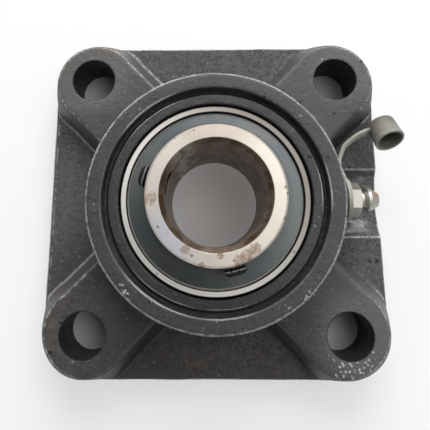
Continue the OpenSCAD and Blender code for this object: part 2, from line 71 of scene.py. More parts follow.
JOINTS = {joint["name"]: joint for joint in frame["joints"]}
MOUNTS = {mount["name"]: mount for mount in frame["record"]["mounts"]}
BALL_CENTRE = Vector(JOINTS["insert_swivel"]["pos_m"])
NIPPLE_FOOT = Vector(JOINTS["cap_swivel"]["pos_m"])
BOLT_AT = MOUNTS["bolt_holes"]["dims"]["spacing_x_mm"] * MM / 2
BOLT_HOLE_R = MOUNTS["bolt_holes"]["dims"]["hole_r_mm"] * MM
SHAFT_R = MOUNTS["shaft_bore"]["dims"]["r_mm"] * MM
SEAT_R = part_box("outer_ring")[1].x
RING_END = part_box("inner_ring")[1].z
RING_R = (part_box("inner_ring")[1].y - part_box("inner_ring")[0].y) / 2
FLANGE_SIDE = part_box("housing")[1].y
NIPPLE_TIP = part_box("grease_nipple")[1].x / MM
SEAL_EDGE_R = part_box("front_slinger")[1].x + 0.5 * MM
FACE_EDGE_R = math.sqrt(SEAT_R ** 2 - (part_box("outer_ring")[1].z - BALL_CENTRE.z) ** 2)

# Reaches of the solids that the frame doesn't list, some with a little to spare
COLLAR_R = SEAT_R + 7.26 * MM
RIM_R = SEAT_R + 4.4 * MM
GROOVE_FLOOR = 21.5 * MM
WEB_TOP = 8.5 * MM
SCOOP_R = 13.9 * MM
SCOOP_EDGE = math.sqrt(SCOOP_R ** 2 - (NIPPLE_FOOT.z - WEB_TOP) ** 2)
PAD_R = 6.2 * MM
BORE_MOUTH_R = SHAFT_R + 1.25 * MM
CAP_END = NIPPLE_FOOT + Vector((11.4, 21.0, 0.0)) * MM
CAP_WAY = Vector((0.20, -0.86, 0.48)).normalized()
BESIDE_CAP_R = 4.4 * MM

# Points of a mesh that are closer than this become one
MERGE_WITHIN = 0.001 * MM

# Places and widths of the studio's dark card and soft boxes
CARD_AT = (-0.14, -0.12, 0.32)
CARD_WIDTH = 0.30
KEY_AT = (0.05, 0.62, 0.42)
KEY_WIDTH = 0.60
SIDE_AT = (0.32, 0.14, 0.62)
SIDE_WIDTH = 0.50

# The way in which painted reflection brightens the outer ring's face
LIT_SIDE_WAY = (-0.848, -0.530, 0.0)

# Marks on the front: x, y and radius in millimetres
RING_STAINS = (
    (-15.4, -1.2, 2.2), (-7.2, -12.8, 2.0), (0.8, -14.2, 1.3), (-3.5, -16.3, 1.2),
    (5.0, -15.2, 2.0), (6.9, -14.0, 2.2), (8.9, -12.5, 2.0))
RING_NICKS = (
    (16.3, 1.5, 0.8), (16.7, 0.1, 0.6), (15.8, -5.6, 0.6), (-5.8, -14.1, 0.6), (-13.7, -7.7, 0.6),
    (-5.3, 15.4, 0.5), (-10.0, 13.3, 0.5), (-14.6, 0.0, 0.7))
RING_DULL = (0.0, 16.0, 13.0)
BORE_SHEEN = (-8.0, 9.6, 4.5)
SLINGER_NICKS = (13.5, 14.5, 8.0)
NIPPLE_RUST = (NIPPLE_TIP - 0.7, 1.5, 2.0)
COOL_PART = (-11.5, -10.5, 9.0)
HEAVY_CHIPS = (
    (33.0, -44.0, 6.0), (40.5, -42.5, 6.0), (17.2, -28.4, 3.5), (22.8, -24.2, 3.0), (-23.4, -23.4, 3.5))
# Parts of the groove's rims that keep their pale line, partly wear and partly painted highlight
RIM_PALE_LINES = ((-17.0, 22.0, 11.0), (-14.0, -25.0, 13.0), (3.0, -28.5, 8.0), (29.0, 3.0, 8.0))
# Streaks of painted reflection on the scoop under the nipple
SCOOP_GLEAMS = ((40.5, -6.0, 5.0), (38.0, -3.0, 4.0), (44.0, 5.5, 5.0))
# Patches of painted shade, darkest on their slopes
SHADED = ((-21.0, -41.0, 17.0), (21.0, -41.0, 17.0), (41.0, 20.0, 12.0))
# Edges where the pale lines, partly painted highlight, are left out
QUIET = (
    (-21.0, -38.0, 24.0), (21.0, -38.0, 24.0), (36.0, -20.0, 12.0), (38.0, 20.0, 9.0), (20.0, 37.0, 17.0))
DUSTY = (
    (40.0, 40.0, 18.0), (43.0, -34.0, 22.0), (44.0, -14.0, 9.0), (-46.0, 0.0, 20.0), (-38.0, 38.0, 20.0),
    (-36.0, 36.0, 13.0), (36.0, -35.0, 13.0), (43.0, 6.0, 5.0))
BROWN_FILM = (
    (-45.0, -36.0, 9.0), (-43.0, -27.0, 8.0), (33.0, -16.0, 8.0), (-44.0, 42.0, 9.0), (-30.0, 46.0, 8.0),
    (-8.0, -42.0, 15.0), (13.0, -42.0, 13.0))


def colour(name, description, default):
    """A colour that a user would change."""
    return FloatVectorProperty(
        name=name, description=description, default=default, subtype="COLOR", min=0, max=1)


def length(name, description, default):
    """A length that a user would change, in metres."""
    return FloatProperty(name=name, description=description, default=default, unit="LENGTH", precision=5)


def count(name, description, default):
    """A whole number that a user would change."""
    return IntProperty(name=name, description=description, default=default, min=0)


class CastingSettings(PropertyGroup):
    voxel: length("Mesh size", "Spacing of the points of the cast surface", 0.34 * MM)
    triangles: count("Triangles", "Triangles left after thinning", 190000)
    settle_rounds: count("Settling", "Smoothing rounds over the whole casting", 2)
    fillet_rounds: count("Fillets", "More rounds where the surface is as cast", 3)
    seat_room: length("Seat room", "Room between the seat and the ring's sphere", 0.15 * MM)
    grain_size: length("Grain size", "Width of the sand grain", 1.3 * MM)
    grain_height: length("Grain height", "Height of the sand grain", 0.035 * MM)
    swell_size: length("Swell size", "Width of the slow unevenness", 9 * MM)
    swell_height: length("Swell height", "Height of the slow unevenness", 0.12 * MM)
    paint: colour("Paint", "Dark blue grey paint", (0.038, 0.041, 0.045))
    faded: colour("Faded paint", "Paint that has gone pale", (0.092, 0.093, 0.091))
    brown: colour("Brown film", "Thin rust that shows through the paint", (0.105, 0.078, 0.060))
    chalk: colour("Chalky paint", "Palest blotches of the rough webs", (0.20, 0.20, 0.197))
    # Besides real wear and chips, this colour paints highlights along edges, in concave corners and along the
    # scoop, and the scoop's painted reflections
    wear_and_highlight: colour("Worn edge", "Pale lines where edges have rubbed", (0.42, 0.42, 0.41))
    # Besides the real pits, this colour paints shade into the groove, the bolt holes and the shaded slopes
    pits_and_painted_shade: colour("Pits", "Dark pits, holes and corners", (0.006, 0.006, 0.006))


class SteelSettings(PropertyGroup):
    ground: colour("Ground steel", "Face of the inner ring", (0.70, 0.65, 0.58))
    cool: colour("Cool steel", "Bluish part of the ring's face", (0.66, 0.65, 0.69))
    # The outer ring's face runs from the shaded side's colour to this one, a painted reflection
    outer: colour("Outer ring", "Clean part of the outer ring's face", (0.96, 0.93, 0.89))
    outer_shaded_side: colour("Greasy steel", "Part of the outer ring's face under a film", (0.24, 0.22, 0.195))
    stain: colour("Stain", "Dull patches on the ring", (0.36, 0.28, 0.22))
    rust: colour("Rust", "Rust spots", (0.17, 0.085, 0.045))
    film: colour("Rust film", "Thin rust on the nipple", (0.38, 0.22, 0.16))
    bore: colour("Bore", "Brown film in the shaft bore", (0.132, 0.070, 0.031))
    slate: colour("Slinger", "Blue grey coat of the slingers", (0.096, 0.114, 0.122))
    polish: colour("Balls", "Polished balls", (0.82, 0.82, 0.82))
    # Also the painted glints on the set screws' thread crests
    strip: colour("Strip", "Pressed strip of the cage and the seal plates", (0.60, 0.60, 0.58))
    # Also the painted shade in the gaps beside the outer ring's face and at the far end of the bore
    black: colour("Black oxide", "Set screws and the dirt in the gaps", (0.010, 0.010, 0.010))
    rubber: colour("Rubber", "Seal lips", (0.018, 0.018, 0.018))
    zinc: colour("Zinc", "Plating of the grease nipple", (0.44, 0.435, 0.39))


class CapSettings(PropertyGroup):
    voxel: length("Mesh size", "Spacing of the points of the moulding", 0.12 * MM)
    smoothing: count("Smoothing", "Smoothing rounds over the moulding", 3)
    plastic: colour("Plastic", "Grey plastic of the cap and strap", (0.205, 0.198, 0.163))
    # Painted shade: darker plastic towards the cap's closed end
    shaded_end_plastic: colour("Grimy plastic", "Darker plastic at the cap's closed end", (0.100, 0.092, 0.068))
    bleached: colour("Bleached plastic", "Paler plastic on the raised parts", (0.36, 0.36, 0.32))


class StageSettings(PropertyGroup):
    camera_at: FloatVectorProperty(
        name="Camera", description="Place of the camera", subtype="XYZ", unit="LENGTH",
        default=(-2.533 * MM, -11.411 * MM, 153.938 * MM))
    camera_turn: FloatVectorProperty(
        name="Turn", description="Turn of the camera", subtype="EULER", unit="ROTATION",
        default=(math.radians(12.4116), math.radians(0.8387), 0))
    lens: FloatProperty(
        name="Lens", description="Focal length in millimetres", default=42.009, unit="CAMERA")
    shift: FloatVectorProperty(
        name="Shift", description="Shift of the frame off the lens axis", size=2, default=(0.03893, -0.19026))
    floor: colour("Floor", "Pale floor", (0.90, 0.90, 0.90))
    floor_glow: FloatProperty(
        name="Floor glow", description="Plain white share of the floor", default=0.55, subtype="FACTOR")
    floor_size: length("Floor size", "Side of the floor", 6)
    world: FloatProperty(name="World", description="Strength of the light from all round", default=0.36)
    backdrop: FloatProperty(
        name="Backdrop", description="Brightness of the room where it is seen", default=0.62)
    key: FloatProperty(
        name="Key", description="Power of the soft box beyond the top edge", default=6.6, unit="POWER")
    side: FloatProperty(
        name="Side", description="Power of the soft box above the right edge", default=1.2, unit="POWER")


class BearingSettings(PropertyGroup):
    casting: PointerProperty(type=CastingSettings)
    steel: PointerProperty(type=SteelSettings)
    cap: PointerProperty(type=CapSettings)
    stage: PointerProperty(type=StageSettings)


class Value:
    """A node's output that takes part in Python expressions."""

    def __init__(self, nodes, socket):
        self.nodes = nodes
        self.socket = socket

    def math(self, operation, left, right):
        return self.nodes.node("ShaderNodeMath", {"operation": operation}, {0: left, 1: right})

    def __add__(self, other):
        return self.math("ADD", self, other)

    def __sub__(self, other):
        return self.math("SUBTRACT", self, other)

    def __rsub__(self, other):
        return self.math("SUBTRACT", other, self)

    def __mul__(self, other):
        return self.math("MULTIPLY", self, other)

    __radd__ = __add__
    __rmul__ = __mul__


class Nodes:
    """One node tree, put together from expressions."""

    def __init__(self, tree):
        self.tree = tree

    def node(self, kind, settings=None, inputs=None, output=0):
        """Adds a node, sets it up, feeds its sockets and gives back one output."""
        made = self.tree.nodes.new(kind)
        for key, value in (settings or {}).items():
            setattr(made, key, value)
        for key, value in (inputs or {}).items():
            self.feed(made.inputs[key], value)
        return Value(self, made.outputs[output])

    def feed(self, socket, value):
        if isinstance(value, Value):
            self.tree.links.new(value.socket, socket)
        else:
            socket.default_value = value

    def seen_rays(self):
        """1 for rays that show the surroundings: straight, mirrored or through something clear."""
        kinds = ("Is Camera Ray", "Is Glossy Ray", "Is Transmission Ray")
        return sum(self.node("ShaderNodeLightPath", output=kind) for kind in kinds)


class Finish(Nodes):
    """One material."""

    def __init__(self, name, **constants):
        self.material = bpy.data.materials.new(name)
        self.material.use_nodes = True
        super().__init__(self.material.node_tree)
        self.shader = self.tree.nodes["Principled BSDF"]
        self.place = self.node("ShaderNodeTexCoord", output="Object")
        self.surface(**constants)

    def surface(self, **inputs):
        """Feeds the shader's sockets, named with underscores for spaces."""
        for key, value in inputs.items():
            self.feed(self.shader.inputs[key.replace("_", " ")], value)

    def stretched(self, factors):
        return self.node("ShaderNodeVectorMath", {"operation": "MULTIPLY"}, {0: self.place, 1: factors})

    def noise(self, size, detail=2.0, roughness=0.5, place=None):
        """Cloudy noise from 0 to 1 with features of that size."""
        return self.node("ShaderNodeTexNoise", None, {
            "Vector": place or self.place, "Scale": 1 / size, "Detail": detail, "Roughness": roughness})

    def cells(self, size):
        """Distance from scattered points, in units of their spacing."""
        return self.node("ShaderNodeTexVoronoi", None, {"Vector": self.place, "Scale": 1 / size}, "Distance")

    def ramp(self, value, low, high):
        """Smooth step from 0 at low to 1 at high."""
        return self.node("ShaderNodeMapRange", {"interpolation_type": "SMOOTHSTEP"}, {
            "Value": value, "From Min": low, "From Max": high})

    def specks(self, size, radius, density, spread):
        """Ragged spots with that spacing, their radius a share of it, in clusters of the spread size."""
        ragged = self.cells(size) + (self.noise(size / 4, detail=3) - 0.5) * 2 * radius
        clusters = self.ramp(self.noise(spread), 0.62 - density, 0.66 - density)
        return (1 - self.ramp(ragged, 0.6 * radius, radius)) * clusters

    def patches(self, *spots):
        """Soft round patches seen from the front, each given as x, y and radius in millimetres."""
        flat = self.stretched((1, 1, 0))
        return sum(1 - self.ramp(self.distance(flat, (x * MM, y * MM, 0)), 0.35 * r * MM, r * MM)
                   for x, y, r in spots)

    def distance(self, place, point):
        return self.node("ShaderNodeVectorMath", {"operation": "DISTANCE"}, {0: place, 1: point}, "Value")

    def mix(self, share, first, second):
        return self.node("ShaderNodeMix", {"data_type": "RGBA"}, {0: share, 6: first, 7: second}, output=2)

    def attribute(self, name):
        return self.node("ShaderNodeAttribute", {"attribute_name": name}, output="Fac")

    def axis(self, letter):
        return self.node("ShaderNodeSeparateXYZ", None, {0: self.place}, output=letter)

    def shaft_radius(self):
        """Distance from the shaft axis."""
        return self.distance(self.stretched((1, 1, 0)), (0, 0, 0))

    def seen_from(self, point):
        return self.node("ShaderNodeVectorMath", {"operation": "SUBTRACT"}, {0: self.place, 1: point})

    def along(self, point, way):
        """Distance from a point in that direction."""
        return self.node(
            "ShaderNodeVectorMath", {"operation": "DOT_PRODUCT"}, {0: self.seen_from(point), 1: way}, "Value")

    def line_radius(self, point, way):
        """Distance from the line through a point in that direction."""
        turned = self.node("ShaderNodeVectorMath", {"operation": "CROSS_PRODUCT"}, {
            0: self.seen_from(point), 1: way})
        return self.distance(turned, (0, 0, 0))

    def facing_up(self):
        """1 where the surface faces the front, 0 on a wall."""
        normal = self.node("ShaderNodeTexCoord", output="Normal")
        return self.node("ShaderNodeSeparateXYZ", None, {0: normal}, output="Z")

    def beside(self):
        """Distance to either side of the nipple's middle plane."""
        return self.node("ShaderNodeMath", {"operation": "ABSOLUTE"}, {0: self.axis("Y")})

    def bolt_radius(self):
        """Distance from the axis of the nearest bolt hole."""
        corner = self.node("ShaderNodeVectorMath", {"operation": "ABSOLUTE"}, {0: self.stretched((1, 1, 0))})
        return self.distance(corner, (BOLT_AT, BOLT_AT, 0))

    def band(self, value, low, high, edge=0.1 * MM):
        """1 between low and high, 0 outside."""
        return self.ramp(value, low - edge, low + edge) * (1 - self.ramp(value, high - edge, high + edge))

    def turned_marks(self, spacing):
        """Fine rings around the shaft axis, as a lathe or a grinder leaves them."""
        rings = self.node("ShaderNodeCombineXYZ", None, {"X": self.shaft_radius(), "Y": self.axis("Z")})
        return self.noise(spacing, detail=3, place=rings)

    def bump(self, height, distance):
        """Raises the surface by that height times the distance."""
        self.surface(Normal=self.node("ShaderNodeBump", None, {"Height": height, "Distance": distance}))


def opaque(rgb):
    return (*rgb, 1.0)


def finish_nodes(finish, *names):
    """Gives CAD nodes that material."""
    for name in names:
        node = frame["nodes"][name]
        node.data.materials.clear()
        node.data.materials.append(finish.material)


def apply_modifiers(piece):
    """Replaces the piece's mesh by what its modifiers make of it."""
    graph = bpy.context.evaluated_depsgraph_get()
    made = bpy.data.meshes.new_from_object(piece.evaluated_get(graph))
    piece.modifiers.clear()
    piece.data = made


def merged_copy(node, name):
    """A copy of a CAD node with its points merged."""
    shell = bmesh.new()
    shell.from_mesh(frame["nodes"][node].data)
    bmesh.ops.remove_doubles(shell, verts=shell.verts, dist=MERGE_WITHIN)
    mesh = bpy.data.meshes.new(name)
    shell.to_mesh(mesh)
    shell.free()
    piece = bpy.data.objects.new(name, mesh)
    bpy.context.scene.collection.objects.link(piece)
    return piece


def remeshed_copy(node, name, voxel):
    """A closed copy of a CAD node with evenly spread points, and its bmesh."""
    piece = merged_copy(node, name)
    even = piece.modifiers.new("Even mesh", "REMESH")
    even.mode = "VOXEL"
    even.voxel_size = voxel
    apply_modifiers(piece)
    surface = bmesh.new()
    surface.from_mesh(piece.data)
    return piece, surface


def smooth(surface, points, rounds):
    for _ in range(rounds):
        bmesh.ops.smooth_vert(
            surface, verts=points, factor=0.5, use_axis_x=True, use_axis_y=True, use_axis_z=True)


def edge_sharpness(surface):
    """Mean angle between the faces around each point: above 0 on outer edges, below 0 in corners."""
    surface.verts.index_update()
    total = [0.0] * len(surface.verts)
    edges = [0] * len(surface.verts)
    for edge in surface.edges:
        angle = edge.calc_face_angle_signed(0.0)
        for point in edge.verts:
            total[point.index] += angle
            edges[point.index] += 1
    return [angle / max(number, 1) for angle, number in zip(total, edges)]


def store(mesh, name, values):
    layer = mesh.attributes.new(name, "FLOAT", "POINT")
    layer.data.foreach_set("value", values)


def finish_mesh(piece, finish, body, slot, *nodes):
    """Shades a piece smoothly, and lets it ride on its body in place of its CAD nodes."""
    piece.data.materials.clear()
    piece.data.materials.append(finish.material)
    piece.data.shade_smooth()
    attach(piece, body)
    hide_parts(*nodes)


def is_machined(point):
    """True on the mounting face, at the bolt holes, in the bearing seat and on the nipple's pad."""
    x, y, z = point
    across = math.hypot(x, y)
    at_bolt = math.hypot(abs(x) - BOLT_AT, abs(y) - BOLT_AT) < BOLT_HOLE_R + 0.5 * MM
    in_seat = across < SEAT_R - 0.6 * MM
    on_pad = x > NIPPLE_FOOT.x - 0.5 * MM and math.hypot(y, z - NIPPLE_FOOT.z) < PAD_R
    return z < 0.4 * MM or at_bolt or in_seat or on_pad


def is_crisp(point):
    """True where edges stay as the tools left them: machined faces and the groove in the collar."""
    x, y, z = point
    in_groove = z > GROOVE_FLOOR and SEAT_R - 1 * MM < math.hypot(x, y) < RIM_R
    return in_groove or is_machined(point)


def opening_edge():
    """Radius and height of the edge around the seat's opening."""
    inside = [point.co for point in frame["nodes"]["housing"].data.vertices if point.co.xy.length < SEAT_R]
    land_z = max(co.z for co in inside)
    return min(co.xy.length for co in inside if co.z > land_z - 0.01 * MM), land_z


class BEARING_OT_casting(Operator):
    """Makes the cast surface of the housing: rounded edges, sand grain, and worn paint with painted shade and
    highlights
    """

    bl_idname = "bearing.casting"
    bl_label = "Casting"

    def execute(self, context):
        sizes = context.scene.bearing.casting
        piece, surface = remeshed_copy("housing", "housing_casting", sizes.voxel)
        smooth(surface, surface.verts, sizes.settle_rounds)
        sharpness = edge_sharpness(surface)
        as_cast = [point for point in surface.verts if not is_crisp(point.co)]
        smooth(surface, as_cast, sizes.fillet_rounds)
        self.add_grain(surface, sizes)
        self.sharpen_opening(surface)
        self.keep_clear(surface, SEAT_R + sizes.seat_room)
        surface.to_mesh(piece.data)
        surface.free()
        store(piece.data, "edge", sharpness)
        thin = piece.modifiers.new("Thin", "DECIMATE")
        thin.ratio = min(1, sizes.triangles / (2 * len(piece.data.polygons)))
        apply_modifiers(piece)
        finish_mesh(piece, self.painted(sizes), "housing", "housing_paint", "housing")
        return {"FINISHED"}

    def keep_clear(self, surface, radius):
        """Keeps every point off the ring's sphere and above the mounting face."""
        for point in surface.verts:
            arm = point.co - BALL_CENTRE
            if arm.length < radius:
                point.co = BALL_CENTRE + arm.normalized() * radius
            point.co.z = max(point.co.z, 0)

    def sharpen_opening(self, surface):
        """Draws the points near the edge of the seat's opening onto the land or the wall."""
        edge_r, land_z = opening_edge()
        for point in surface.verts:
            out = point.co.xy.length - edge_r
            down = land_z - point.co.z
            if max(abs(out), abs(down)) > 0.5 * MM:
                continue
            if out > down:
                point.co.z = land_z
            else:
                point.co.xy = point.co.xy.normalized() * edge_r

    def add_grain(self, surface, sizes):
        surface.normal_update()
        for point in surface.verts:
            if is_machined(point.co):
                continue
            grain = noise.noise(point.co / sizes.grain_size) * sizes.grain_height
            swell = noise.noise(point.co / sizes.swell_size) * sizes.swell_height
            point.co += (grain + swell) * point.normal

    def painted(self, sizes):
        finish = Finish("housing_paint", Specular_IOR_Level=0.42)
        # Places on the casting
        across = finish.shaft_radius()
        in_groove = finish.band(across, SEAT_R + 1.75 * MM, SEAT_R + 2.95 * MM, 0.2 * MM)
        on_rims = finish.band(across, SEAT_R + 0.5 * MM, RIM_R, 0.3 * MM)
        in_hole = 1 - finish.ramp(finish.bolt_radius(), BOLT_HOLE_R + 0.10 * MM, BOLT_HOLE_R + 0.45 * MM)
        off_hole = finish.ramp(finish.bolt_radius(), BOLT_HOLE_R + 0.8 * MM, BOLT_HOLE_R + 2 * MM)
        off_seat = finish.ramp(across, SEAT_R - 0.6 * MM, SEAT_R + 0.4 * MM)
        inside = 1 - finish.ramp(across, SEAT_R + 1.4 * MM, SEAT_R + 1.8 * MM)
        low = 1 - finish.ramp(finish.axis("Z"), BALL_CENTRE.z, BALL_CENTRE.z + 8 * MM)
        on_web = 1 - finish.ramp(finish.axis("Z"), WEB_TOP + 1 * MM, WEB_TOP + 2.5 * MM)
        facing_up = finish.facing_up()
        sloped = 1 - finish.ramp(facing_up, 0.60, 0.92)
        # Grain of the paint
        fine = finish.noise(0.45 * MM, detail=3)
        broken = finish.noise(1.5 * MM, detail=4, roughness=0.7)
        mottle = finish.ramp(finish.noise(3 * MM, detail=5, roughness=0.65), 0.35, 0.70)
        grit = finish.ramp(finish.noise(0.8 * MM, detail=4, roughness=0.75), 0.40, 0.66)
        blotch = finish.ramp(finish.noise(1.3 * MM, detail=5, roughness=0.8), 0.51, 0.65)
        pale = finish.ramp(finish.noise(17 * MM, detail=5, roughness=0.6), 0.38, 0.72)
        # Wear, stains, dust, painted shade and painted highlights
        edge = finish.attribute("edge")
        shade = finish.patches(*SHADED)
        strip = finish.ramp(shade, 0.05, 0.40) * sloped
        whole = on_rims * (0.9 - 0.9 * finish.patches(*RIM_PALE_LINES))
        off_collar = finish.ramp(across, COLLAR_R + 0.6 * MM, COLLAR_R + 1.4 * MM)
        quiet = finish.ramp(finish.patches(*QUIET), 0.15, 0.60) * off_collar
        # Pale lines along outer edges: partly worn paint, partly painted highlight
        rubbed = finish.ramp(edge + (broken - 0.5) * 0.20, 0.11, 0.19)
        rubbed = rubbed * off_hole * off_seat * (1 - whole) * (1 - 0.85 * quiet)
        # Painted highlight: pale lines in the concave corners at the feet of the arms, left out in the groove and
        # on the quiet edges
        corner_highlight = finish.ramp((broken - 0.5) * 0.20 - edge, 0.11, 0.18) * (1 - in_groove) * (1 - quiet)
        # Painted highlight: broken pale lines along both edges of the scoop under the nipple
        scoop_edge_highlight = finish.band(finish.beside(), SCOOP_EDGE - 0.30 * MM, SCOOP_EDGE + 0.20 * MM, 0.15 * MM) * on_web
        scoop_edge_highlight = scoop_edge_highlight * finish.ramp(finish.axis("X"), COLLAR_R + 1.5 * MM, COLLAR_R + 3 * MM)
        scoop_edge_highlight = scoop_edge_highlight * finish.ramp(broken, 0.36, 0.50)
        side = finish.band(finish.axis("X"), 1.1 * MM - FLANGE_SIDE, 1.5 * MM - FLANGE_SIDE, 0.15 * MM)
        dashes = side * on_web * finish.ramp(broken, 0.46, 0.58)
        chips = finish.specks(1.3 * MM, 0.15, 0.12, 5 * MM) + finish.specks(3.1 * MM, 0.11, 0.12, 7 * MM)
        heavy = finish.specks(1.2 * MM, 0.36, 0.45, 3 * MM) * finish.patches(*HEAVY_CHIPS)
        heavy = heavy * finish.ramp(facing_up, 0.50, 0.80)
        # Painted reflection: pale streaks on the scoop's surface
        reflected_streaks = finish.ramp(finish.noise(2 * MM, detail=4, place=finish.stretched((0.35, 1, 1))), 0.42, 0.62)
        reflected_streaks = reflected_streaks * finish.patches(*SCOOP_GLEAMS)
        pits = finish.specks(4.5 * MM, 0.13, 0.12, 12 * MM)
        film = finish.patches(*BROWN_FILM) * finish.ramp(finish.noise(3 * MM, detail=4), 0.35, 0.65)
        dust = finish.patches(*DUSTY) * 0.7 + pale * 0.2 + mottle * 0.2
        # Colour, from the paint outwards
        base = finish.mix(dust * low, opaque(sizes.paint), opaque(sizes.faded))
        base = finish.mix(grit * (0.25 + 0.20 * low), base, opaque(sizes.faded))
        base = finish.mix(blotch * (0.06 + 0.60 * on_web), base, opaque(sizes.chalk))
        base = finish.mix(inside * 0.30, base, opaque(sizes.pits_and_painted_shade))
        base = finish.mix(film * 0.5, base, opaque(sizes.brown))
        # Painted shade: the shaded patches drawn darker, most on their slopes
        base = finish.mix(shade * 0.25 + strip * 0.6, base, opaque(sizes.pits_and_painted_shade))
        base = finish.mix(corner_highlight * 0.55, base, opaque(sizes.wear_and_highlight))
        base = finish.mix(rubbed * 0.8 + dashes * 0.5 + scoop_edge_highlight, base, opaque(sizes.wear_and_highlight))
        base = finish.mix(chips * 0.4 + heavy + reflected_streaks * 0.55, base, opaque(sizes.wear_and_highlight))
        base = finish.mix(pits * 0.8, base, opaque(sizes.pits_and_painted_shade))
        # Painted shade: the groove in the collar and the bolt holes' walls drawn near black
        base = finish.mix(in_groove * 0.9, base, opaque(sizes.pits_and_painted_shade))
        base = finish.mix(in_hole * 0.9, base, opaque(sizes.pits_and_painted_shade))
        finish.surface(Base_Color=base, Roughness=0.36 + 0.16 * grit + 0.10 * mottle)
        finish.bump(fine * 0.5 + broken + blotch * on_web + heavy * 0.5 - pits, 0.18 * MM)
        return finish


class BEARING_OT_rings(Operator):
    """Finishes the inner and the outer ring as ground steel with stains and rust, and with painted light and shade
    """

    bl_idname = "bearing.rings"
    bl_label = "Rings"

    def execute(self, context):
        colours = context.scene.bearing.steel
        finish_nodes(self.inner(colours), "inner_ring")
        finish_nodes(self.outer(colours), "outer_ring")
        return {"FINISHED"}

    def inner(self, colours):
        finish = Finish("inner_ring_steel")
        across = finish.shaft_radius()
        in_bore = 1 - finish.ramp(across, BORE_MOUTH_R - 0.2 * MM, BORE_MOUTH_R + 0.05 * MM)
        mouth = finish.ramp(across, SHAFT_R + 0.01 * MM, SHAFT_R + 0.08 * MM)
        on_face = finish.ramp(finish.axis("Z"), RING_END - 1.5 * MM, RING_END - 0.8 * MM)
        far_end = 1 - finish.ramp(finish.axis("Z"), RING_END - 34 * MM, RING_END - 31 * MM)
        marks = finish.turned_marks(0.12 * MM)
        ragged = finish.noise(0.9 * MM, detail=5, roughness=0.75) - 0.5
        spotty = finish.ramp(finish.noise(0.45 * MM, detail=3), 0.40, 0.60)
        stains = finish.ramp(finish.patches(*RING_STAINS) + 2.2 * ragged, 0.25, 1.15) * on_face
        nicks = finish.ramp(finish.patches(*RING_NICKS) + 2.8 * ragged, 0.55, 0.95) * on_face
        rim = finish.ramp(across + ragged * 1.2 * MM, RING_R - 0.8 * MM, RING_R)
        dull = finish.ramp(finish.noise(4 * MM, detail=5, roughness=0.65), 0.45, 0.80)
        film = finish.ramp(finish.noise(2.6 * MM, detail=5, place=finish.stretched((1, 1, 0.4))), 0.36, 0.64)
        base = finish.mix(finish.patches(COOL_PART), opaque(colours.ground), opaque(colours.cool))
        base = finish.mix(dull * 0.2 + finish.patches(RING_DULL) * 0.4, base, opaque(colours.stain))
        base = finish.mix(rim * 0.45, base, opaque(colours.stain))
        base = finish.mix(stains * 0.75, base, opaque(colours.stain))
        base = finish.mix(stains * spotty * 0.4, base, opaque(colours.rust))
        base = finish.mix(nicks * 0.55, base, opaque(colours.black))
        brown = finish.mix(film * 0.6, opaque(colours.bore), opaque(colours.stain))
        brown = finish.mix(finish.patches(BORE_SHEEN) * film * 0.7, brown, opaque(colours.ground))
        brown = finish.mix(mouth * 0.55, brown, opaque(colours.black))
        # Painted shade towards the far end of the bore
        brown = finish.mix(far_end * 0.8, brown, opaque(colours.black))
        base = finish.mix(in_bore, base, brown)
        rough = 0.38 + 0.10 * marks + 0.20 * stains - 0.04 * in_bore
        finish.surface(Base_Color=base, Roughness=rough, Metallic=1 - 0.35 * in_bore)
        finish.bump(marks - nicks + film * in_bore, 0.012 * MM)
        return finish

    def outer(self, colours):
        finish = Finish("outer_ring_steel", Metallic=1.0)
        across = finish.shaft_radius()
        face_r = FACE_EDGE_R - 0.28 * MM
        bright = finish.band(across, SEAL_EDGE_R + 0.20 * MM, face_r)
        above = finish.distance(finish.stretched((0, 0, 1)), (0, 0, BALL_CENTRE.z))
        near_face = finish.ramp(above, 6.6 * MM, 7.4 * MM)
        # Painted reflection: the face brightens along one way across the ring
        lit_side = finish.ramp(finish.along((0, 0, 0), LIT_SIDE_WAY), -0.9 * FACE_EDGE_R, 0.9 * FACE_EDGE_R)
        marks = finish.turned_marks(0.10 * MM)
        spots = finish.specks(2.4 * MM, 0.18, 0.08, 8 * MM)
        base = finish.mix(lit_side, opaque(colours.outer_shaded_side), opaque(colours.outer))
        base = finish.mix(spots * 0.7, base, opaque(colours.rust))
        # Painted shade in the gaps on both sides of the outer ring's face
        gap_shade = (1 - bright) * near_face
        base = finish.mix(gap_shade, base, opaque(colours.black))
        finish.surface(Base_Color=base, Roughness=0.34 + 0.12 * marks + 0.3 * spots + 0.3 * gap_shade)
        finish.bump(marks - spots, 0.012 * MM)
        return finish


class BEARING_OT_rolling_set(Operator):
    """Finishes the balls and the pressed cage"""

    bl_idname = "bearing.rolling_set"
    bl_label = "Balls and cage"

    def execute(self, context):
        colours = context.scene.bearing.steel
        balls = [name for name in frame["nodes"] if name.startswith("ball_")]
        finish_nodes(self.polished(colours), *balls)
        finish_nodes(pressed("cage_strip", colours), "cage_front", "cage_back", "cage_rivets")
        return {"FINISHED"}

    def polished(self, colours):
        finish = Finish("ball_polish", Metallic=1.0)
        smear = finish.noise(1.5 * MM, detail=3)
        finish.surface(
            Base_Color=finish.mix(smear * 0.2, opaque(colours.polish), opaque(colours.stain)),
            Roughness=0.06 + 0.08 * smear)
        return finish


def pressed(name, colours):
    """Pressed sheet steel with a dull grain."""
    finish = Finish(name, Metallic=1.0)
    grain = finish.noise(0.6 * MM, detail=4, roughness=0.65)
    finish.surface(
        Base_Color=finish.mix(grain * 0.5, opaque(colours.strip), opaque(colours.stain)),
        Roughness=0.32 + 0.18 * grain)
    finish.bump(grain, 0.01 * MM)
    return finish


